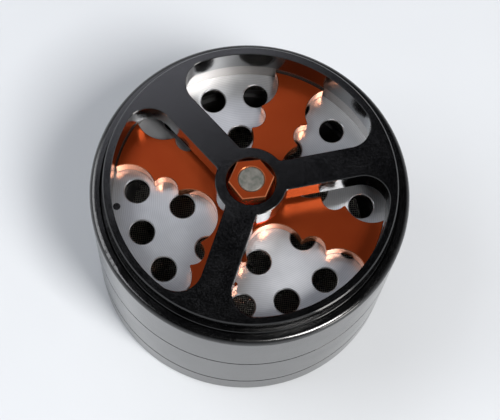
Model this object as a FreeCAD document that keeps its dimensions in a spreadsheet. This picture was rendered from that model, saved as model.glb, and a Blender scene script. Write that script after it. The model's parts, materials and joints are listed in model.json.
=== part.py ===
import FreeCAD, Part
import math
import os
import re
import Sketcher

# Hand-held toothless mill: a three-spoke wheel over a spinning four-arm rotor, a drilled plate in a
# dish, and a canister with a screen and a base cup below.  Millimetres, +Z up, z = 0 on the table.
SIZES = {
    # outside
    "outer_radius": 31.5,
    "edge_break": 0.3,
    "base_chamfer": 0.8,
    "cup_top": 7.0,
    "canister_top": 22.0,
    "lip_top": 38.0,
    "lip_round": 1.1,
    "face_top": 42.0,
    # three-spoke wheel
    "collar_radius": 28.74,
    "collar_break": 0.25,
    "flange_radius": 29.3,
    "flange_break": 0.2,
    "wheel_edge_break": 0.15,
    "window_radius": 27.15,
    "window_fillet": 4.8,
    "ring_bottom": 36.5,
    "spoke_bottom": 37.0,
    "spoke_width": 6.2,
    "spoke_inner_end": 5.6,
    "spoke_outer_end": 28.0,
    "spoke_count": 3,
    "hub_radius": 7.0,
    "hub_bore_radius": 4.85,
    "hub_fillet": 1.0,
    # rotor
    "rotor_bottom": 32.4,
    "rotor_top": 35.2,
    "rotor_radius": 27.0,
    "arm_count": 4,
    "arm_half_width": 5.35,
    "inner_cusp": 13.3,
    "outer_cusp": 18.2,
    "gap_reach": 30.0,
    "web_offset": 9.2,
    "web_radius": 5.72,
    "inner_bite_side": 5.75,
    "inner_bite_along": 15.75,
    "inner_bite_radius": 2.5,
    "outer_bite_side": 8.9,
    "outer_bite_along": 22.4,
    "outer_bite_radius": 5.5,
    "cusp_fillet": 0.35,
    "arm_edge_break": 0.12,
    "boss_radius": 6.4,
    "boss_top": 36.5,
    "journal_radius": 4.8,
    "journal_top": 38.4,
    "hex_across_flats": 7.8,
    "hex_break": 0.18,
    "drive_top": 43.2,
    "pivot_radius": 2.5,
    "pivot_bottom": 29.8,
    # magnet and thrust washer
    "magnet_radius": 2.5,
    "magnet_pocket_radius": 2.55,
    "magnet_length": 3.0,
    "magnet_break": 0.25,
    "washer_inner_radius": 4.95,
    "washer_outer_radius": 6.3,
    "washer_thickness": 0.4,
    # mill dish
    "dish_bottom": 29.2,
    "plate_bottom": 30.8,
    "plate_top": 32.2,
    "skirt_radius": 25.2,
    "bush_boss_radius": 6.5,
    "rim_inner_radius": 27.3,
    "rim_break": 0.2,
    "hole_radius": 2.5,
    "hole_break": 0.2,
    "outer_hole_circle": 22.45,
    "outer_hole_count": 16,
    "inner_hole_circle": 13.4,
    "inner_hole_count": 8,
    "bush_seat_radius": 5.05,
    "bush_seat_floor": 31.4,
    "bush_bore_radius": 3.5,
    # pivot bush
    "bush_radius": 3.45,
    "bush_flange_radius": 5.0,
    "bush_inner_radius": 2.55,
    "bush_bottom": 29.3,
    # index pin
    "pin_radius": 0.7,
    "pin_hole_radius": 0.75,
    "pin_circle": 26.45,
    "pin_bottom": 27.4,
    "pin_top": 32.1,
    # body ring
    "body_bore_radius": 29.35,
    "mouth_chamfer": 0.2,
    "ledge_bottom": 26.5,
    "ledge_radius": 25.6,
    "socket_radius": 27.45,
    # canister
    "spigot_radius": 27.4,
    "spigot_top": 26.0,
    "canister_bore_radius": 25.0,
    "screen_seat": 12.2,
    "lower_bore_radius": 27.85,
    "clip_groove_radius": 28.2,
    "clip_groove_bottom": 10.3,
    "clip_groove_top": 10.95,
    "seal_groove_depth": 0.9,
    "seal_wire_radius": 0.45,
    "seal_groove_half": 0.55,
    "upper_seal_height": 24.0,
    # screen
    "frame_inner_radius": 25.0,
    "frame_outer_radius": 27.6,
    "frame_top": 11.95,
    "mesh_radius": 26.9,
    "clip_inner_radius": 26.4,
    "clip_outer_radius": 28.1,
    "clip_thickness": 0.6,
    "clip_sweep": 330.0,
    # base cup
    "cup_spigot_radius": 27.8,
    "cup_spigot_top": 9.9,
    "cup_inner_radius": 25.6,
    "cup_floor": 1.6,
    "cup_floor_blend": 1.8,
    "lower_seal_height": 8.4,
}

# Directions about Z, degrees from +X.
SPOKE_ANGLE = 18.5
ARM_ANGLE = 73.95
OUTER_HOLE_ANGLE = 3.0
INNER_HOLE_ANGLE = 14.0
PIN_ANGLE = 190.8
QUARTER_TURN = 90.0
FULL_TURN = 360.0

SHEET = "Sizes"
OUT_DIR = "parts"

doc = FreeCAD.newDocument("toothless_mill")


def fill_sheet():
    """Write every driving size into the spreadsheet with its word alias."""
    table = doc.addObject("Spreadsheet::Sheet", SHEET)
    for row, (alias, value) in enumerate(SIZES.items(), start=1):
        table.set(f"A{row}", alias.replace("_", " "))
        table.set(f"B{row}", str(value))
        table.setAlias(f"B{row}", alias)
    doc.recompute()
    return table


sheet = fill_sheet()


def bound(text):
    """Turn alias names into references to the sheet."""
    return re.sub(r"[a-z][a-z_]+", lambda word: f"{SHEET}.{word[0]}" if word[0] in SIZES else word[0], text)


def value(text):
    """Present value of an expression in the sheet's aliases."""
    return float(sheet.evalExpression(text))


def new_body(label, turn=0.0):
    """One sub-part, turned about Z by its own placement."""
    body = doc.addObject("PartDesign::Body", label)
    body.Label = label
    body.Placement = FreeCAD.Placement(FreeCAD.Vector(), FreeCAD.Rotation(FreeCAD.Vector(0, 0, 1), turn))
    return body


def origin_feature(body, role):
    return next(item for item in body.Origin.OriginFeatures if item.Role == role)


def new_sketch(body, name, plane, height=None):
    sketch = body.newObject("Sketcher::SketchObject", name)
    sketch.AttachmentSupport = (origin_feature(body, plane), [""])
    sketch.MapMode = "FlatFace"
    if height:
        sketch.setExpression("AttachmentOffset.Base.z", bound(height))
    return sketch


def place_point(sketch, geometry, position, across, up):
    """Drive one sketch point by two expressions."""
    for kind, text, axis in (("DistanceX", across, -2), ("DistanceY", up, -1)):
        amount = value(text)
        if abs(amount) < 1e-9:
            sketch.addConstraint(Sketcher.Constraint("PointOnObject", geometry, position, axis))
            continue
        index = sketch.addConstraint(Sketcher.Constraint(kind, -1, 1, geometry, position, amount))
        sketch.setExpression(f"Constraints[{index}]", bound(text))


def polygon(sketch, points):
    """Closed outline through points given as pairs of expressions."""
    corners = [FreeCAD.Vector(value(across), value(up), 0) for across, up in points]
    count = len(corners)
    for index in range(count):
        sketch.addGeometry(Part.LineSegment(corners[index], corners[(index + 1) % count]), False)
    for index in range(count):
        sketch.addConstraint(Sketcher.Constraint("Coincident", index, 2, (index + 1) % count, 1))
    for index, (across, up) in enumerate(points):
        place_point(sketch, index, 1, across, up)


def circles(sketch, items):
    """Circles given as centre and radius expressions."""
    for across, up, radius in items:
        centre = FreeCAD.Vector(value(across), value(up), 0)
        index = sketch.addGeometry(Part.Circle(centre, FreeCAD.Vector(0, 0, 1), value(radius)), False)
        place_point(sketch, index, 3, across, up)
        number = sketch.addConstraint(Sketcher.Constraint("Radius", index, value(radius)))
        sketch.setExpression(f"Constraints[{number}]", bound(radius))


def revolve(body, name, points, sweep=None):
    sketch = new_sketch(body, name + "_profile", "XZ_Plane")
    polygon(sketch, points)
    feature = body.newObject("PartDesign::Revolution", name)
    feature.Profile = sketch
    feature.ReferenceAxis = (sketch, ["V_Axis"])
    feature.Angle = FULL_TURN
    if sweep:
        feature.setExpression("Angle", bound(sweep))
    doc.recompute()
    return feature


def pad(body, name, sketch, length):
    feature = body.newObject("PartDesign::Pad", name)
    feature.Profile = sketch
    feature.setExpression("Length", bound(length))
    doc.recompute()
    return feature


def pocket(body, name, sketch, length):
    feature = body.newObject("PartDesign::Pocket", name)
    feature.Profile = sketch
    feature.setExpression("Length", bound(length))
    doc.recompute()
    return feature


def round_pad(body, name, radius, bottom, top):
    sketch = new_sketch(body, name + "_circle", "XY_Plane", bottom)
    circles(sketch, [("0", "0", radius)])
    return pad(body, name, sketch, f"{top} - ({bottom})")


def pattern(body, name, originals, count):
    feature = body.newObject("PartDesign::PolarPattern", name)
    feature.Originals = originals
    feature.Axis = (origin_feature(body, "Z_Axis"), [""])
    feature.Angle = FULL_TURN
    feature.setExpression("Occurrences", bound(count))
    body.Tip = feature
    doc.recompute()
    return feature


def dress(body, kind, name, size, wanted):
    """Fillet or chamfer the edges of the tip that the test picks."""
    base = body.Tip
    names = [f"Edge{n}" for n, edge in enumerate(base.Shape.Edges, start=1) if wanted(edge)]
    if not names:
        raise ValueError(f"{body.Label}: no edges for {name}")
    feature = body.newObject(f"PartDesign::{kind}", name)
    feature.Base = (base, names)
    feature.setExpression("Radius" if kind == "Fillet" else "Size", bound(size))
    doc.recompute()
    return feature


def upright_at(radius):
    """Test for straight vertical edges at a distance from the axis."""
    def test(edge):
        if not isinstance(edge.Curve, Part.Line) or abs(edge.tangentAt(edge.FirstParameter).z) < 0.999:
            return False
        middle = edge.CenterOfMass
        return abs(math.hypot(middle.x, middle.y) - radius) < 0.05
    return test


def ring_edge(radius, height):
    """Test for circular edges of a radius lying at a height."""
    def test(edge):
        return (isinstance(edge.Curve, Part.Circle) and abs(edge.Curve.Radius - radius) < 1e-3
                and abs(edge.Curve.Center.z - height) < 1e-3)
    return test


def level_edge(height, reach):
    """Test for edges lying at a height, no further out than a reach."""
    def test(edge):
        box = edge.BoundBox
        level = abs(box.ZMin - height) < 1e-4 and abs(box.ZMax - height) < 1e-4
        return level and all(math.hypot(v.X, v.Y) < reach for v in edge.Vertexes)
    return test


def make_base_cup():
    body = new_body("base_cup")
    groove_low = "lower_seal_height - seal_groove_half"
    groove_high = "lower_seal_height + seal_groove_half"
    groove_floor = "cup_spigot_radius - seal_groove_depth"
    revolve(body, "cup", [
        ("0", "0"),
        ("outer_radius - base_chamfer", "0"),
        ("outer_radius", "base_chamfer"),
        ("outer_radius", "cup_top - edge_break"),
        ("outer_radius - edge_break", "cup_top"),
        ("cup_spigot_radius", "cup_top"),
        ("cup_spigot_radius", groove_low),
        (groove_floor, groove_low),
        (groove_floor, groove_high),
        ("cup_spigot_radius", groove_high),
        ("cup_spigot_radius", "cup_spigot_top - edge_break"),
        ("cup_spigot_radius - edge_break", "cup_spigot_top"),
        ("cup_inner_radius", "cup_spigot_top"),
        ("cup_inner_radius", "cup_floor + cup_floor_blend"),
        ("cup_inner_radius - cup_floor_blend", "cup_floor"),
        ("0", "cup_floor"),
    ])
    return body


def make_seal(label, spigot, height):
    """O-ring lying flush in its groove."""
    body = new_body(label)
    sketch = new_sketch(body, label + "_section", "XZ_Plane")
    circles(sketch, [(f"{spigot} - seal_wire_radius", height, "seal_wire_radius")])
    feature = body.newObject("PartDesign::Revolution", label + "_ring")
    feature.Profile = sketch
    feature.ReferenceAxis = (sketch, ["V_Axis"])
    feature.Angle = FULL_TURN
    doc.recompute()
    return body


def make_canister():
    body = new_body("canister")
    groove_low = "upper_seal_height - seal_groove_half"
    groove_high = "upper_seal_height + seal_groove_half"
    groove_floor = "spigot_radius - seal_groove_depth"
    revolve(body, "sleeve", [
        ("lower_bore_radius", "cup_top"),
        ("outer_radius - edge_break", "cup_top"),
        ("outer_radius", "cup_top + edge_break"),
        ("outer_radius", "canister_top - edge_break"),
        ("outer_radius - edge_break", "canister_top"),
        ("spigot_radius", "canister_top"),
        ("spigot_radius", groove_low),
        (groove_floor, groove_low),
        (groove_floor, groove_high),
        ("spigot_radius", groove_high),
        ("spigot_radius", "spigot_top - edge_break"),
        ("spigot_radius - edge_break", "spigot_top"),
        ("canister_bore_radius", "spigot_top"),
        ("canister_bore_radius", "screen_seat"),
        ("lower_bore_radius", "screen_seat"),
        ("lower_bore_radius", "clip_groove_top"),
        ("clip_groove_radius", "clip_groove_top"),
        ("clip_groove_radius", "clip_groove_bottom"),
        ("lower_bore_radius", "clip_groove_bottom"),
    ])
    return body


def flat_ring(label, inner, outer, bottom, top, sweep=None):
    body = new_body(label)
    revolve(body, label + "_ring", [(inner, bottom), (outer, bottom), (outer, top), (inner, top)], sweep)
    return body


def make_screen_mesh():
    body = new_body("screen_mesh")
    round_pad(body, "mesh_disc", "mesh_radius", "frame_top", "screen_seat")
    return body


def make_body_ring():
    body = new_body("body_ring", PIN_ANGLE)
    revolve(body, "shell", [
        ("ledge_radius", "ledge_bottom"),
        ("socket_radius", "ledge_bottom"),
        ("socket_radius", "canister_top"),
        ("outer_radius - edge_break", "canister_top"),
        ("outer_radius", "canister_top + edge_break"),
        ("outer_radius", "lip_top"),
        ("body_bore_radius + mouth_chamfer", "lip_top"),
        ("body_bore_radius", "lip_top - mouth_chamfer"),
        ("body_bore_radius", "dish_bottom"),
        ("ledge_radius", "dish_bottom"),
    ])
    dress(body, "Fillet", "lip_crown", "lip_round", ring_edge(value("outer_radius"), value("lip_top")))
    sketch = new_sketch(body, "pin_hole_circle", "XY_Plane", "dish_bottom")
    circles(sketch, [("pin_circle", "0", "pin_hole_radius")])
    pocket(body, "pin_hole", sketch, "dish_bottom - pin_bottom")
    return body


def drill_ring(body, name, circle, count, angle):
    """A ring of through holes in the plate, the first one at an angle."""
    sketch = new_sketch(body, name + "_circle", "XY_Plane", "plate_top")
    circles(sketch, [(f"{circle} * cos({angle} deg)", f"{circle} * sin({angle} deg)", "hole_radius")])
    first = pocket(body, name, sketch, "plate_top - dish_bottom")
    pattern(body, name + "_pattern", [first], count)


def make_mill_dish():
    """Thin plate with a boss for the bush, a skirt that rests on the ledge and a tall rim."""
    body = new_body("mill_dish")
    revolve(body, "dish", [
        ("bush_bore_radius", "dish_bottom"),
        ("bush_boss_radius", "dish_bottom"),
        ("bush_boss_radius", "plate_bottom"),
        ("skirt_radius", "plate_bottom"),
        ("skirt_radius", "dish_bottom"),
        ("flange_radius", "dish_bottom"),
        ("flange_radius", "ring_bottom"),
        ("rim_inner_radius + rim_break", "ring_bottom"),
        ("rim_inner_radius", "ring_bottom - rim_break"),
        ("rim_inner_radius", "plate_top"),
        ("bush_seat_radius", "plate_top"),
        ("bush_seat_radius", "bush_seat_floor"),
        ("bush_bore_radius", "bush_seat_floor"),
    ])
    drill_ring(body, "outer_holes", "outer_hole_circle", "outer_hole_count", OUTER_HOLE_ANGLE)
    drill_ring(body, "inner_holes", "inner_hole_circle", "inner_hole_count", INNER_HOLE_ANGLE)
    sketch = new_sketch(body, "pin_hole_circle", "XY_Plane", "plate_top")
    angle = f"{PIN_ANGLE} deg"
    circles(sketch, [(f"pin_circle * cos({angle})", f"pin_circle * sin({angle})", "pin_hole_radius")])
    pocket(body, "pin_hole", sketch, "plate_top - dish_bottom")
    dress(body, "Chamfer", "hole_rims", "hole_break", ring_edge(value("hole_radius"), value("plate_top")))
    return body


def make_pivot_bush():
    body = new_body("pivot_bush")
    revolve(body, "flanged_bush", [
        ("bush_inner_radius", "bush_bottom"),
        ("bush_radius", "bush_bottom"),
        ("bush_radius", "bush_seat_floor"),
        ("bush_flange_radius", "bush_seat_floor"),
        ("bush_flange_radius", "rotor_bottom"),
        ("bush_inner_radius", "rotor_bottom"),
    ])
    return body


def make_index_pin():
    body = new_body("index_pin", PIN_ANGLE)
    sketch = new_sketch(body, "pin_section", "XY_Plane", "pin_bottom")
    circles(sketch, [("pin_circle", "0", "pin_radius")])
    pad(body, "pin", sketch, "pin_top - pin_bottom")
    return body


def make_rotor():
    """Arms lie along the body's own axes; the placement turns them to rest."""
    body = new_body("rotor", ARM_ANGLE - QUARTER_TURN)
    round_pad(body, "blank", "rotor_radius", "rotor_bottom", "rotor_top")
    thickness = "rotor_top - rotor_bottom"

    gap = new_sketch(body, "gap_outline", "XY_Plane", "rotor_top")
    polygon(gap, [
        ("arm_half_width", "inner_cusp"),
        ("arm_half_width", "outer_cusp"),
        ("arm_half_width", "gap_reach"),
        ("gap_reach", "gap_reach"),
        ("gap_reach", "arm_half_width"),
        ("outer_cusp", "arm_half_width"),
        ("inner_cusp", "arm_half_width"),
    ])
    web = new_sketch(body, "web_circle", "XY_Plane", "rotor_top")
    circles(web, [("web_offset", "web_offset", "web_radius")])
    inner = new_sketch(body, "inner_bite_circles", "XY_Plane", "rotor_top")
    circles(inner, [("inner_bite_side", "inner_bite_along", "inner_bite_radius"),
                    ("inner_bite_along", "inner_bite_side", "inner_bite_radius")])
    outer = new_sketch(body, "outer_bite_circles", "XY_Plane", "rotor_top")
    circles(outer, [("outer_bite_side", "outer_bite_along", "outer_bite_radius"),
                    ("outer_bite_along", "outer_bite_side", "outer_bite_radius")])
    cuts = [pocket(body, name, sketch, thickness) for name, sketch in
            (("gap", gap), ("web", web), ("inner_bites", inner), ("outer_bites", outer))]
    pattern(body, "arm_pattern", cuts, "arm_count")
    for name, along in (("inner_cusps", "inner_cusp"), ("outer_cusps", "outer_cusp")):
        radius = math.hypot(value("arm_half_width"), value(along))
        dress(body, "Fillet", name, "cusp_fillet", upright_at(radius))
    dress(body, "Chamfer", "arm_edges", "arm_edge_break",
          level_edge(value("rotor_top"), value("rotor_radius + arm_edge_break")))

    round_pad(body, "boss", "boss_radius", "rotor_top", "boss_top")
    round_pad(body, "journal", "journal_radius", "boss_top", "journal_top")
    round_pad(body, "pivot", "pivot_radius", "pivot_bottom", "rotor_bottom")
    hexagon = new_sketch(body, "hex_section", "XY_Plane", "journal_top")
    half_flats = "hex_across_flats / 2"
    side = "hex_across_flats / 2 * tan(30 deg)"
    corner = "hex_across_flats / 2 / cos(30 deg)"
    polygon(hexagon, [
        ("0", corner),
        (f"-{half_flats}", side),
        (f"-{half_flats}", f"-({side})"),
        ("0", f"-({corner})"),
        (half_flats, f"-({side})"),
        (half_flats, side),
    ])
    pad(body, "hex_drive", hexagon, "drive_top - journal_top")
    seat = new_sketch(body, "magnet_circle", "XY_Plane", "drive_top")
    circles(seat, [("0", "0", "magnet_pocket_radius")])
    pocket(body, "magnet_pocket", seat, "magnet_length")
    dress(body, "Chamfer", "drive_edges", "hex_break",
          level_edge(value("drive_top"), value("journal_radius")))
    return body


def make_drive_magnet():
    body = new_body("drive_magnet")
    round_pad(body, "magnet", "magnet_radius", "drive_top - magnet_length", "drive_top")
    dress(body, "Fillet", "magnet_rim", "magnet_break", ring_edge(value("magnet_radius"), value("drive_top")))
    return body


def make_wheel():
    """Spokes are drawn along +X; the placement turns them to rest."""
    body = new_body("wheel", SPOKE_ANGLE)
    revolve(body, "collar", [
        ("window_radius", "ring_bottom"),
        ("flange_radius", "ring_bottom"),
        ("flange_radius", "lip_top - flange_break"),
        ("flange_radius - flange_break", "lip_top"),
        ("collar_radius", "lip_top"),
        ("collar_radius", "face_top - collar_break"),
        ("collar_radius - collar_break", "face_top"),
        ("window_radius", "face_top"),
    ])
    sketch = new_sketch(body, "spoke_outline", "XY_Plane", "spoke_bottom")
    half = "spoke_width / 2"
    polygon(sketch, [
        ("spoke_inner_end", f"-{half}"),
        ("spoke_outer_end", f"-{half}"),
        ("spoke_outer_end", half),
        ("spoke_inner_end", half),
    ])
    spoke = pad(body, "spoke", sketch, "face_top - spoke_bottom")
    pattern(body, "spokes", [spoke], "spoke_count")
    round_pad(body, "hub", "hub_radius", "spoke_bottom", "face_top")
    bore = new_sketch(body, "hub_bore_circle", "XY_Plane", "face_top")
    circles(bore, [("0", "0", "hub_bore_radius")])
    pocket(body, "hub_bore", bore, "face_top - spoke_bottom")
    dress(body, "Fillet", "window_corners", "window_fillet", upright_at(value("window_radius")))
    dress(body, "Fillet", "hub_corners", "hub_fillet", upright_at(value("hub_radius")))
    dress(body, "Chamfer", "face_edges", "wheel_edge_break",
          level_edge(value("face_top"), value("window_radius + wheel_edge_break")))
    return body


def check(body):
    """Stop on any failed feature or bad solid."""
    for item in [body] + list(body.Group):
        if any(word in state for state in item.State for word in ("Invalid", "Error")):
            raise ValueError(f"{body.Label}: {item.Name} is {item.State}")
    shape = body.Shape
    if shape.isNull() or not shape.isValid() or len(shape.Solids) != 1:
        raise ValueError(f"{body.Label}: bad shape, {len(shape.Solids)} solids")


def build():
    bodies = [
        make_base_cup(),
        make_seal("cup_seal", "cup_spigot_radius", "lower_seal_height"),
        make_canister(),
        make_seal("canister_seal", "spigot_radius", "upper_seal_height"),
        flat_ring("screen_frame", "frame_inner_radius", "frame_outer_radius", "clip_groove_top", "frame_top"),
        make_screen_mesh(),
        flat_ring("screen_clip", "clip_inner_radius", "clip_outer_radius",
                  "clip_groove_top - clip_thickness", "clip_groove_top", "clip_sweep"),
        make_body_ring(),
        make_mill_dish(),
        make_pivot_bush(),
        make_index_pin(),
        make_rotor(),
        flat_ring("thrust_washer", "washer_inner_radius", "washer_outer_radius",
                  "boss_top", "boss_top + washer_thickness"),
        make_drive_magnet(),
        make_wheel(),
    ]
    doc.recompute()
    os.makedirs(OUT_DIR, exist_ok=True)
    for body in bodies:
        check(body)
        body.Shape.exportStep(os.path.join(OUT_DIR, body.Label + ".step"))
        print(body.Label, round(body.Shape.Volume, 1), body.Shape.BoundBox)


build()
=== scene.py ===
import json
import math

import bmesh
import bpy
from mathutils import Matrix, Vector


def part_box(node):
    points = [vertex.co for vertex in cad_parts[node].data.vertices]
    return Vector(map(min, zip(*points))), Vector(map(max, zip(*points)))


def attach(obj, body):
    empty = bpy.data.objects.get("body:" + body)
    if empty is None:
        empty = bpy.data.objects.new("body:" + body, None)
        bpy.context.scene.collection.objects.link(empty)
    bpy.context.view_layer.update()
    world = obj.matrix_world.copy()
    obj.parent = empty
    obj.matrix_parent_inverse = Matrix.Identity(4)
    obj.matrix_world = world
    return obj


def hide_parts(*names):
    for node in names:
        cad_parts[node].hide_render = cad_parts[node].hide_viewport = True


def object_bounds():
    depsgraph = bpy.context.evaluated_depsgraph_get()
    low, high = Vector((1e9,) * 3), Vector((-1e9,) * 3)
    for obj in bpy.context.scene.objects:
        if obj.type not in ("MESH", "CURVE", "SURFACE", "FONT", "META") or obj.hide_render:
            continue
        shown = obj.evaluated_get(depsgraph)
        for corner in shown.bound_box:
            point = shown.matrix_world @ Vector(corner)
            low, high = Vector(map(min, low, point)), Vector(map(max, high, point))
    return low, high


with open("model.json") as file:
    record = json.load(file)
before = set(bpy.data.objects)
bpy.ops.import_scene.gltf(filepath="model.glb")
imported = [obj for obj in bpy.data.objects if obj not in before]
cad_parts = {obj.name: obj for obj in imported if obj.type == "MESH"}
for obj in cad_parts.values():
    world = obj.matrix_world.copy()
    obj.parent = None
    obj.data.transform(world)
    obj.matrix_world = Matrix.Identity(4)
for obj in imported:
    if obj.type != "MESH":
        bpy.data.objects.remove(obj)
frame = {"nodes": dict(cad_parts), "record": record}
cad_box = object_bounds()
nodes = frame["nodes"]

MM = 0.001

# Heights and radii read from the solids. The bush's flange ends just above the drilled plate.
FACE_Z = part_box("wheel")[1].z
BUSH_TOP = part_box("pivot_bush")[1].z
BASE_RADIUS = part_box("base_cup")[1].x
MESH_LOW, MESH_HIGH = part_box("screen_mesh")


# ---------------------------------------------------------------- node helpers
# A noise node's output mostly lies between the WIDE two; the CLOSE two cut off more at both ends.
WIDE_LOW, WIDE_HIGH = 0.3, 0.7
CLOSE_LOW, CLOSE_HIGH = 0.35, 0.65
# A noise over a vector that already carries a scale on each axis.
UNSCALED = 1.0
# Sockets of a Mix node set to colours: the two inputs and the result.
MIX_FIRST, MIX_SECOND, MIX_RESULT = 6, 7, 2


class Mat:
    """A Principled material being built. The methods that add a node return its output."""

    def __init__(self, name):
        self.mat = bpy.data.materials.new(name)
        self.mat.use_nodes = True
        self.tree = self.mat.node_tree
        self.tree.nodes.clear()
        self.out = self.tree.nodes.new("ShaderNodeOutputMaterial")
        self.bsdf = self.tree.nodes.new("ShaderNodeBsdfPrincipled")
        self.link(self.bsdf.outputs[0], self.out.inputs[0])
        coord = self.tree.nodes.new("ShaderNodeTexCoord")
        self.object = coord.outputs["Object"]

    def link(self, source, socket):
        self.tree.links.new(source, socket)

    def feed(self, socket, item):
        """Link the socket when the item is a node's output, set its value otherwise."""
        if isinstance(item, bpy.types.NodeSocket):
            self.link(item, socket)
        else:
            socket.default_value = item

    def put(self, name, item):
        """Feed one input of the shader."""
        self.feed(self.bsdf.inputs[name], item)

    def math(self, operation, *items):
        node = self.tree.nodes.new("ShaderNodeMath")
        node.operation = operation
        for socket, item in zip(node.inputs, items):
            self.feed(socket, item)
        return node.outputs[0]

    def mix(self, factor, first, second):
        """Blend two colours, each a socket or (r, g, b)."""
        node = self.tree.nodes.new("ShaderNodeMix")
        node.data_type = "RGBA"
        self.feed(node.inputs["Factor"], factor)
        for index, colour in ((MIX_FIRST, first), (MIX_SECOND, second)):
            plain = isinstance(colour, tuple)
            self.feed(node.inputs[index], colour + (1.0,) if plain else colour)
        return node.outputs[MIX_RESULT]

    def noise(self, scale, detail, rough=0.5, vector=None):
        node = self.tree.nodes.new("ShaderNodeTexNoise")
        node.inputs["Scale"].default_value = scale
        node.inputs["Detail"].default_value = detail
        node.inputs["Roughness"].default_value = rough
        self.link(vector or self.object, node.inputs["Vector"])
        return node.outputs[0]

    def remap(self, value, low, high, to_low, to_high):
        node = self.tree.nodes.new("ShaderNodeMapRange")
        node.inputs["From Min"].default_value = low
        node.inputs["From Max"].default_value = high
        node.inputs["To Min"].default_value = to_low
        node.inputs["To Max"].default_value = to_high
        self.link(value, node.inputs["Value"])
        return node.outputs[0]

    def wide(self, noise, to_low=0.0, to_high=1.0):
        """Spread a noise smoothly over the range given."""
        return self.remap(noise, WIDE_LOW, WIDE_HIGH, to_low, to_high)

    def close(self, noise, to_low=0.0, to_high=1.0):
        """Spread a noise over the range given, with more of it at the two ends."""
        return self.remap(noise, CLOSE_LOW, CLOSE_HIGH, to_low, to_high)

    def split(self, vector):
        node = self.tree.nodes.new("ShaderNodeSeparateXYZ")
        self.link(vector, node.inputs[0])
        return node.outputs

    def join(self, x, y, z):
        node = self.tree.nodes.new("ShaderNodeCombineXYZ")
        for socket, item in zip(node.inputs, (x, y, z)):
            self.feed(socket, item)
        return node.outputs[0]

    def upness(self, steep=0.6, level=0.95):
        """1 on faces square to the mill's axis, 0 on its walls."""
        geometry = self.tree.nodes.new("ShaderNodeNewGeometry")
        z = self.split(geometry.outputs["True Normal"])[2]
        return self.remap(self.math("ABSOLUTE", z), steep, level, 0.0, 1.0)

    def radius_height(self):
        """Distance from the mill's axis and height, from object coordinates."""
        x, y, z = self.split(self.object)
        square = self.math("ADD", self.math("MULTIPLY", x, x), self.math("MULTIPLY", y, y))
        return self.math("SQRT", square), z

    def ring_tangent(self):
        """Direction round the axis, for turned metal."""
        node = self.tree.nodes.new("ShaderNodeTangent")
        node.direction_type = "RADIAL"
        node.axis = "Z"
        return node.outputs[0]

    def bump(self, height, distance, strength, after=None):
        """Bump the shader's normal, on top of an earlier bump if one is given."""
        node = self.tree.nodes.new("ShaderNodeBump")
        node.inputs["Strength"].default_value = strength
        node.inputs["Distance"].default_value = distance
        self.link(height, node.inputs["Height"])
        if after:
            self.link(after, node.inputs["Normal"])
        self.put("Normal", node.outputs[0])
        return node.outputs[0]


# ---------------------------------------------------------------- materials
# Colours are linear (r, g, b); a pair goes from a surface's darker spots to its lighter ones.
# A _NOISE is scale per metre, detail and roughness; a _SCALE is per metre along one axis.
# A _ROUGH pair is the lowest and highest roughness, or what the noise adds to it at its ends.
# A _BUMP is distance and strength.
BLACK = (0.0002, 0.0002, 0.0003), (0.0036, 0.0036, 0.0044)
BLACK_SPECULAR = 0.9
BLAST_NOISE, BLOTCH_NOISE = (4200.0, 2.0, 0.6), (160.0, 3.0)
LATHE_NOISE, LATHE_SCALE = (UNSCALED, 2.0, 0.6), 6000.0
SPECK_FROM, SPECK_FULL = 0.5, 0.75
BLACK_WALL_ROUGH, BLACK_FLAT_EXTRA, BLACK_INSIDE_EXTRA = 0.14, 0.03, 0.45
BLOTCH_ROUGH, GRIT_ROUGH = (-0.03, 0.04), (-0.05, 0.05)
LATHE_BUMP, BLAST_BUMP = (0.002 * MM, 0.35), (0.012 * MM, 1.0)

# The walls' paler copper, beside the darker copper on the flats, is a painted highlight.
COPPER_FLAT, COPPER_WALL_HIGHLIGHT = ((0.40, 0.055, 0.011), (0.47, 0.073, 0.016)), (0.72, 0.25, 0.11)
COPPER_METALLIC = 0.9
CLOUD_NOISE, TOOL_NOISE = (90.0, 2.0), (UNSCALED, 2.0, 0.5)
GRAIN_SCALE_X, GRAIN_SCALE_Y = 5200.0, 700.0
MARK_SCALE_XY, MARK_SCALE_Z = 500.0, 3500.0
COPPER_WALL_ROUGH, COPPER_FLAT_EXTRA = 0.17, 0.15
GRAIN_ROUGH = -0.01, 0.01
MARK_BUMP, GRAIN_BUMP = (0.03 * MM, 0.8), (0.0002 * MM, 0.3)

PLATE_FACE = (0.60, 0.615, 0.64), (0.70, 0.715, 0.74)
PLATE_LINE, PLATE_LINE_SHARE = (0.36, 0.37, 0.39), 0.35
# The walls' colour is darker than the face as painted shade; the colour below is near black, painted
# shade for the plate's underside and the parts below it.
PLATE_SHADED_WALL, PLATE_SHADE_BELOW = (0.25, 0.235, 0.22), (0.035, 0.034, 0.033)
# Between these two heights the painted shade fades in, going down.
PLATE_FULL_SHADE_TO, PLATE_UNSHADED_FROM = BUSH_TOP - 1.2 * MM, BUSH_TOP - 0.6 * MM
PLATE_STEEP, PLATE_LEVEL = 0.4, 0.65
PLATE_METALLIC = 0.88
LINE_PITCH = 0.38 * MM
LINE_BUMP_SHARE = 0.5
SMEAR_NOISE = 220.0, 3.0
WANDER_NOISE, WANDER_SCALE = (UNSCALED, 3.0, 0.6), 4000.0
PLATE_ROUGH, PLATE_FLAT_EXTRA = (0.16, 0.24), 0.16
PLATE_ANISOTROPY, PLATE_ANISOTROPY_TURN = 0.55, 0.25
PLATE_BUMP = 0.003 * MM, 0.8

MAGNET, MAGNET_METALLIC = ((0.10, 0.105, 0.09), (0.19, 0.18, 0.16)), 0.4
PIT_NOISE, STAIN_NOISE = (5000.0, 3.0, 0.7), (900.0, 3.0)
MAGNET_ROUGH, MAGNET_BUMP = (0.38, 0.55), (0.015 * MM, 0.7)

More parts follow.
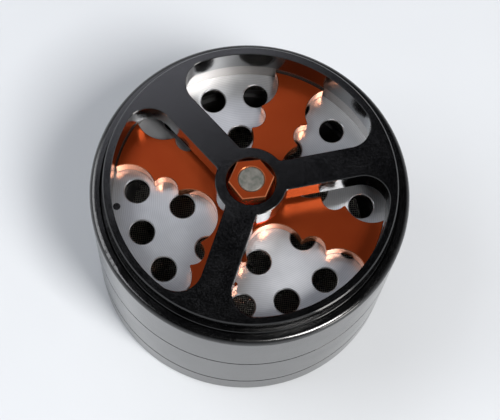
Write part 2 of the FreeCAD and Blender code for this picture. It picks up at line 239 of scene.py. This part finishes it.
ACETAL, ACETAL_SUBSURFACE = ((0.66, 0.63, 0.55), (0.76, 0.73, 0.66)), 0.05
ACETAL_NOISE, ACETAL_ROUGH, ACETAL_BUMP = (900.0, 3.0), (0.35, 0.5), (0.01 * MM, 0.3)

PIN = (0.03, 0.03, 0.032), (0.08, 0.08, 0.085)
PIN_NOISE, PIN_ROUGH, PIN_BUMP = (5000.0, 2.0), (0.22, 0.4), (0.004 * MM, 0.4)

SCREEN = (0.42, 0.39, 0.36), (0.60, 0.57, 0.53)
SCREEN_NOISE, SCREEN_ROUGH = (600.0, 3.0), (0.25, 0.4)

RUBBER = (0.012, 0.012, 0.012), (0.035, 0.034, 0.033)
RUBBER_NOISE, RUBBER_ROUGH, RUBBER_BUMP = (2500.0, 3.0), (0.55, 0.75), (0.01 * MM, 0.4)

TABLE, TABLE_NOISE, TABLE_ROUGH = ((0.655, 0.675, 0.70), (0.695, 0.715, 0.74)), (30.0, 3.0), 0.6
PALE_SKY = (0.93, 0.96, 1.0, 1.0)
# The table shines by itself away from the mill, so that low views keep a pale floor.
GLOW_START, GLOW_FULL, GLOW = 0.2, 1.0, 0.6


def black_anodised():
    """Bead-blasted black on the flats, turned on the walls, matt inside the lower chambers."""
    m = Mat("black_anodised")
    flat = m.upness()
    radius, height = m.radius_height()
    speckle = m.noise(*BLAST_NOISE)
    blotch = m.noise(*BLOTCH_NOISE)
    m.put("Base Color", m.mix(m.remap(speckle, SPECK_FROM, SPECK_FULL, 0.0, 1.0), *BLACK))
    m.put("Specular IOR Level", BLACK_SPECULAR)
    rough = m.math("ADD", m.math("MULTIPLY", flat, BLACK_FLAT_EXTRA), BLACK_WALL_ROUGH)
    rough = m.math("ADD", rough, m.wide(blotch, *BLOTCH_ROUGH))
    grit = m.math("MULTIPLY", flat, m.close(speckle, *GRIT_ROUGH))
    bore = m.remap(radius, MESH_HIGH.x, MESH_HIGH.x + MM, BLACK_INSIDE_EXTRA, 0.0)
    inside = m.math("MULTIPLY", bore, m.remap(height, BUSH_TOP, BUSH_TOP + MM, 1.0, 0.0))
    rough = m.math("ADD", rough, inside)
    m.put("Roughness", m.math("ADD", rough, grit))
    turned = m.join(m.math("MULTIPLY", radius, LATHE_SCALE), 0.0,
                    m.math("MULTIPLY", height, LATHE_SCALE))
    first = m.bump(m.noise(*LATHE_NOISE, turned), *LATHE_BUMP)
    m.bump(m.math("MULTIPLY", speckle, flat), *BLAST_BUMP, first)
    return m.mat


def copper_anodised():
    """Satin orange flats with a fine milled grain; walls with tool marks, whose paler copper is a
    painted highlight.
    """
    m = Mat("copper_anodised")
    flat = m.upness()
    x, y, z = m.split(m.object)
    grain = m.noise(*TOOL_NOISE, m.join(m.math("MULTIPLY", x, GRAIN_SCALE_X),
                                        m.math("MULTIPLY", y, GRAIN_SCALE_Y), z))
    cloud = m.noise(*CLOUD_NOISE)
    # Walls take the paler copper as a painted highlight.
    m.put("Base Color", m.mix(flat, COPPER_WALL_HIGHLIGHT, m.mix(m.wide(cloud), *COPPER_FLAT)))
    m.put("Metallic", COPPER_METALLIC)
    rough = m.math("ADD", m.math("MULTIPLY", flat, COPPER_FLAT_EXTRA), COPPER_WALL_ROUGH)
    m.put("Roughness", m.math("ADD", rough, m.wide(grain, *GRAIN_ROUGH)))
    marks = m.noise(*TOOL_NOISE, m.join(m.math("MULTIPLY", x, MARK_SCALE_XY),
                                        m.math("MULTIPLY", y, MARK_SCALE_XY),
                                        m.math("MULTIPLY", z, MARK_SCALE_Z)))
    wall = m.math("SUBTRACT", 1.0, flat)
    milled = m.bump(m.math("MULTIPLY", marks, wall), *MARK_BUMP)
    m.bump(grain, *GRAIN_BUMP, milled)
    return m.mat


def bright_plate():
    """Turned lines on the plate; darker walls and near black from just below the plate's middle,
    both painted shade.
    """
    m = Mat("bright_plate")
    flat = m.upness(PLATE_STEEP, PLATE_LEVEL)
    radius, height = m.radius_height()
    groove = m.math("SINE", m.math("MULTIPLY", radius, math.tau / LINE_PITCH))
    wander = m.noise(*WANDER_NOISE, m.join(m.math("MULTIPLY", radius, WANDER_SCALE), 0.0, 0.0))
    smear = m.noise(*SMEAR_NOISE)
    face = m.mix(m.wide(smear), *PLATE_FACE)
    face = m.mix(m.remap(groove, -1.0, 1.0, 0.0, PLATE_LINE_SHARE), face, PLATE_LINE)
    # Painted shade: darker walls, and near black below the plate's middle.
    shown = m.remap(height, PLATE_FULL_SHADE_TO, PLATE_UNSHADED_FROM, 0.0, 1.0)
    m.put("Base Color", m.mix(shown, PLATE_SHADE_BELOW, m.mix(flat, PLATE_SHADED_WALL, face)))
    m.put("Metallic", PLATE_METALLIC)
    extra = m.math("MULTIPLY", flat, PLATE_FLAT_EXTRA)
    m.put("Roughness", m.math("ADD", extra, m.wide(wander, *PLATE_ROUGH)))
    m.put("Anisotropic", PLATE_ANISOTROPY)
    m.put("Anisotropic Rotation", PLATE_ANISOTROPY_TURN)
    m.put("Tangent", m.ring_tangent())
    m.bump(m.math("ADD", m.math("MULTIPLY", groove, LINE_BUMP_SHARE), wander), *PLATE_BUMP)
    return m.mat


def nickel_magnet():
    """Dull plated magnet with a pitted, stained face."""
    m = Mat("nickel_magnet")
    grit = m.noise(*PIT_NOISE)
    stain = m.noise(*STAIN_NOISE)
    m.put("Base Color", m.mix(m.close(stain), *MAGNET))
    m.put("Metallic", MAGNET_METALLIC)
    m.put("Roughness", m.wide(grit, *MAGNET_ROUGH))
    m.bump(grit, *MAGNET_BUMP)
    return m.mat


def acetal():
    """Off-white bearing plastic."""
    m = Mat("acetal")
    cloud = m.noise(*ACETAL_NOISE)
    m.put("Base Color", m.mix(cloud, *ACETAL))
    m.put("Roughness", m.wide(cloud, *ACETAL_ROUGH))
    m.put("Subsurface Weight", ACETAL_SUBSURFACE)
    m.bump(cloud, *ACETAL_BUMP)
    return m.mat


def ground_steel():
    """Dark steel of the pin and of the screen's clip."""
    m = Mat("ground_steel")
    streak = m.noise(*PIN_NOISE)
    m.put("Base Color", m.mix(streak, *PIN))
    m.put("Metallic", 1.0)
    m.put("Roughness", m.wide(streak, *PIN_ROUGH))
    m.bump(streak, *PIN_BUMP)
    return m.mat


def screen_steel():
    """Tarnished steel of the woven wires."""
    m = Mat("screen_steel")
    tarnish = m.noise(*SCREEN_NOISE)
    m.put("Base Color", m.mix(m.close(tarnish), *SCREEN))
    m.put("Metallic", 1.0)
    m.put("Roughness", m.wide(tarnish, *SCREEN_ROUGH))
    return m.mat


def rubber():
    """Black rubber of the seals, a little dusty."""
    m = Mat("seal_rubber")
    dust = m.noise(*RUBBER_NOISE)
    m.put("Base Color", m.mix(dust, *RUBBER))
    m.put("Roughness", m.wide(dust, *RUBBER_ROUGH))
    m.bump(dust, *RUBBER_BUMP)
    return m.mat


def table_top():
    """Pale table, clear from below so that the underside can be looked at."""
    m = Mat("table_top")
    m.put("Base Color", m.mix(m.noise(*TABLE_NOISE), *TABLE))
    m.put("Roughness", TABLE_ROUGH)
    radius, _ = m.radius_height()
    m.put("Emission Color", PALE_SKY)
    m.put("Emission Strength", m.remap(radius, GLOW_START, GLOW_FULL, 0.0, GLOW))
    clear = m.tree.nodes.new("ShaderNodeBsdfTransparent")
    side = m.tree.nodes.new("ShaderNodeNewGeometry")
    either = m.tree.nodes.new("ShaderNodeMixShader")
    m.link(side.outputs["Backfacing"], either.inputs[0])
    m.link(m.bsdf.outputs[0], either.inputs[1])
    m.link(clear.outputs[0], either.inputs[2])
    m.link(either.outputs[0], m.out.inputs[0])
    return m.mat


MATERIALS = {
    "black_anodised": black_anodised(),
    "copper_anodised": copper_anodised(),
    "bright_plate": bright_plate(),
    "magnet": nickel_magnet(),
    "bearing_plastic": acetal(),
    "pin_steel": ground_steel(),
    "screen_steel": screen_steel(),
    "seal_rubber": rubber(),
}
for entry in frame["record"]["subparts"]:
    node = nodes[entry["node"]]
    for slot in node.material_slots:
        slot.material = MATERIALS[entry["material_slot"]]
    if not node.material_slots:
        node.data.materials.append(MATERIALS[entry["material_slot"]])


def mesh_object(name, bm):
    """A new object in the scene, holding the mesh that was built."""
    data = bpy.data.meshes.new(name)
    bm.to_mesh(data)
    bm.free()
    obj = bpy.data.objects.new(name, data)
    bpy.context.scene.collection.objects.link(obj)
    return obj


# ---------------------------------------------------------------- woven screen
WIRE_PITCH = 0.44 * MM
WIRE_END_GAP = 0.05 * MM
# The wire's radius as a share of a quarter of the cloth's thickness.
WIRE_FILL = 0.98
WIRE_CORNERS = 4
ALONG_X, ALONG_Y, UP = Vector((1, 0, 0)), Vector((0, 1, 0)), Vector((0, 0, 1))


def wire_section(bm, centre, side, radius):
    """The corners of a wire's square section, its sides level and upright."""
    corners = []
    for k in range(WIRE_CORNERS):
        turn = (2 * k + 1) * math.pi / WIRE_CORNERS
        corners.append(bm.verts.new(centre + radius * (math.cos(turn) * side + math.sin(turn) * UP)))
    return corners


def wire_skin(bm, rings):
    """Faces along a wire from section to section, and its two ends."""
    for low, high in zip(rings, rings[1:]):
        for k in range(WIRE_CORNERS):
            after = (k + 1) % WIRE_CORNERS
            bm.faces.new((low[k], low[after], high[after], high[k]))
    bm.faces.new(rings[0])
    bm.faces.new(reversed(rings[-1]))


def woven_screen():
    """Plain-weave wire cloth that fills the screen's disc."""
    middle = (MESH_LOW.z + MESH_HIGH.z) / 2
    reach = MESH_HIGH.x - WIRE_END_GAP
    wire = (MESH_HIGH.z - MESH_LOW.z) / 4 * WIRE_FILL
    half = int(reach / WIRE_PITCH)
    bm = bmesh.new()
    for layer, (run, side) in enumerate(((ALONG_X, ALONG_Y), (ALONG_Y, ALONG_X))):
        for row in range(-half, half + 1):
            offset = row * WIRE_PITCH
            steps = int(math.sqrt(max(reach * reach - offset * offset, 0.0)) / WIRE_PITCH)
            if steps < 1:
                continue
            rings = []
            for step in range(-steps, steps + 1):
                over = 1 if (row + step + layer) % 2 else -1
                centre = step * WIRE_PITCH * run + offset * side + (middle + over * wire) * UP
                rings.append(wire_section(bm, centre, side, wire))
            wire_skin(bm, rings)
    bmesh.ops.recalc_face_normals(bm, faces=bm.faces)
    cloth = mesh_object("woven_screen", bm)
    cloth.data.materials.append(MATERIALS["screen_steel"])
    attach(cloth, "can")
    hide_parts("screen_mesh")


woven_screen()


# ---------------------------------------------------------------- floor
FLOOR_GAP = 0.03 * MM
FLOOR_HOLE_SHARE = 0.96
FLOOR_REACH = 3.0
FLOOR_CORNERS = 96


def round_table(inner, outer, height):
    """Flat ring; its hole lies wholly under the base, so light reaches the underside."""
    bm = bmesh.new()
    turns = [math.tau * k / FLOOR_CORNERS for k in range(FLOOR_CORNERS)]
    rings = []
    for radius in (inner, outer):
        rings.append([bm.verts.new((radius * math.cos(turn), radius * math.sin(turn), height))
                      for turn in turns])
    for k in range(FLOOR_CORNERS):
        after = (k + 1) % FLOOR_CORNERS
        bm.faces.new((rings[0][k], rings[1][k], rings[1][after], rings[0][after]))
    return mesh_object("floor", bm)


floor = round_table(FLOOR_HOLE_SHARE * BASE_RADIUS, FLOOR_REACH, cad_box[0][2] - FLOOR_GAP)
floor.data.materials.append(table_top())


# ---------------------------------------------------------------- light
# Name, place, size, watts and colour. All four point at the middle of the wheel's face.
LIGHTS = (
    # Soft light from the left, which brightens the plate in the left window.
    ("key", (-0.46, 0.05, 0.55), (0.52, 0.44), 2.5, (0.95, 0.97, 1.0)),
    # Dim panel that the black flats mirror; its edge leaves the right spoke nearly black.
    ("panel", (-0.15, 0.39, 0.60), (0.29, 0.31), 0.42, (0.88, 0.89, 1.0)),
    # Bright light from the right and front, for the copper walls and the bottom window.
    ("front", (0.325, -0.28, 0.70), (0.20, 0.28), 5.8, (1.0, 0.985, 0.97)),
    # Low, slightly warm light on the right of the body.
    ("low_right", (0.60, -0.45, 0.26), (0.26, 0.20), 1.1, (1.0, 0.97, 0.93)),
)
# The sky's strength where a direction's z is SKY_LOW and SKY_HIGH; in between it falls evenly.
SKY_LOW, SKY_HIGH = 0.15, 0.75
SKY_LOW_STRENGTH, SKY_HIGH_STRENGTH = 0.75, 0.015


def area_light(name, place, size, power, colour):
    """Rectangular lamp aimed at the wheel's face, itself out of sight."""
    data = bpy.data.lights.new(name, "AREA")
    data.shape = "RECTANGLE"
    data.size, data.size_y = size
    data.energy = power
    data.color = colour
    obj = bpy.data.objects.new(name, data)
    direction = Vector((0, 0, FACE_Z)) - Vector(place)
    aimed = direction.to_track_quat("-Z", "Y").to_matrix().to_4x4()
    obj.matrix_world = Matrix.Translation(place) @ aimed
    obj.visible_camera = False
    bpy.context.scene.collection.objects.link(obj)


def studio_world():
    """Pale round the horizon, dim overhead."""
    world = bpy.data.worlds.new("studio")
    world.use_nodes = True
    tree = world.node_tree
    coord = tree.nodes.new("ShaderNodeTexCoord")
    parts = tree.nodes.new("ShaderNodeSeparateXYZ")
    ramp = tree.nodes.new("ShaderNodeMapRange")
    ramp.inputs["From Min"].default_value = SKY_LOW
    ramp.inputs["From Max"].default_value = SKY_HIGH
    ramp.inputs["To Min"].default_value = SKY_LOW_STRENGTH
    ramp.inputs["To Max"].default_value = SKY_HIGH_STRENGTH
    tree.links.new(coord.outputs["Generated"], parts.inputs[0])
    tree.links.new(parts.outputs[2], ramp.inputs["Value"])
    background = tree.nodes["Background"]
    background.inputs[0].default_value = PALE_SKY
    tree.links.new(ramp.outputs[0], background.inputs[1])
    return world


for lamp in LIGHTS:
    area_light(*lamp)
bpy.context.scene.world = studio_world()


# ---------------------------------------------------------------- camera
ELEVATION = math.radians(70.25)
ROLL = math.radians(6.72)
DISTANCE = 0.26815
AIM = Vector((0.43 * MM, -5.92 * MM, FACE_Z))
LENS, SENSOR_WIDTH = 100.6, 36.0
CLIP_START = 0.01


def add_camera():
    """The photo's view: steeply down from the front, rolled a little."""
    forward = Vector((0, math.cos(ELEVATION), -math.sin(ELEVATION)))
    above = Vector((0, math.sin(ELEVATION), math.cos(ELEVATION)))
    right = math.cos(ROLL) * ALONG_X + math.sin(ROLL) * above
    up = -math.sin(ROLL) * ALONG_X + math.cos(ROLL) * above
    turn = Matrix((right, up, -forward)).transposed().to_4x4()
    data = bpy.data.cameras.new("camera")
    data.sensor_width = SENSOR_WIDTH
    data.lens = LENS
    data.clip_start = CLIP_START
    obj = bpy.data.objects.new("camera", data)
    obj.matrix_world = Matrix.Translation(AIM - forward * DISTANCE) @ turn
    bpy.context.scene.collection.objects.link(obj)
    bpy.context.scene.camera = obj


add_camera()
bpy.context.scene.view_settings.view_transform = "Standard"
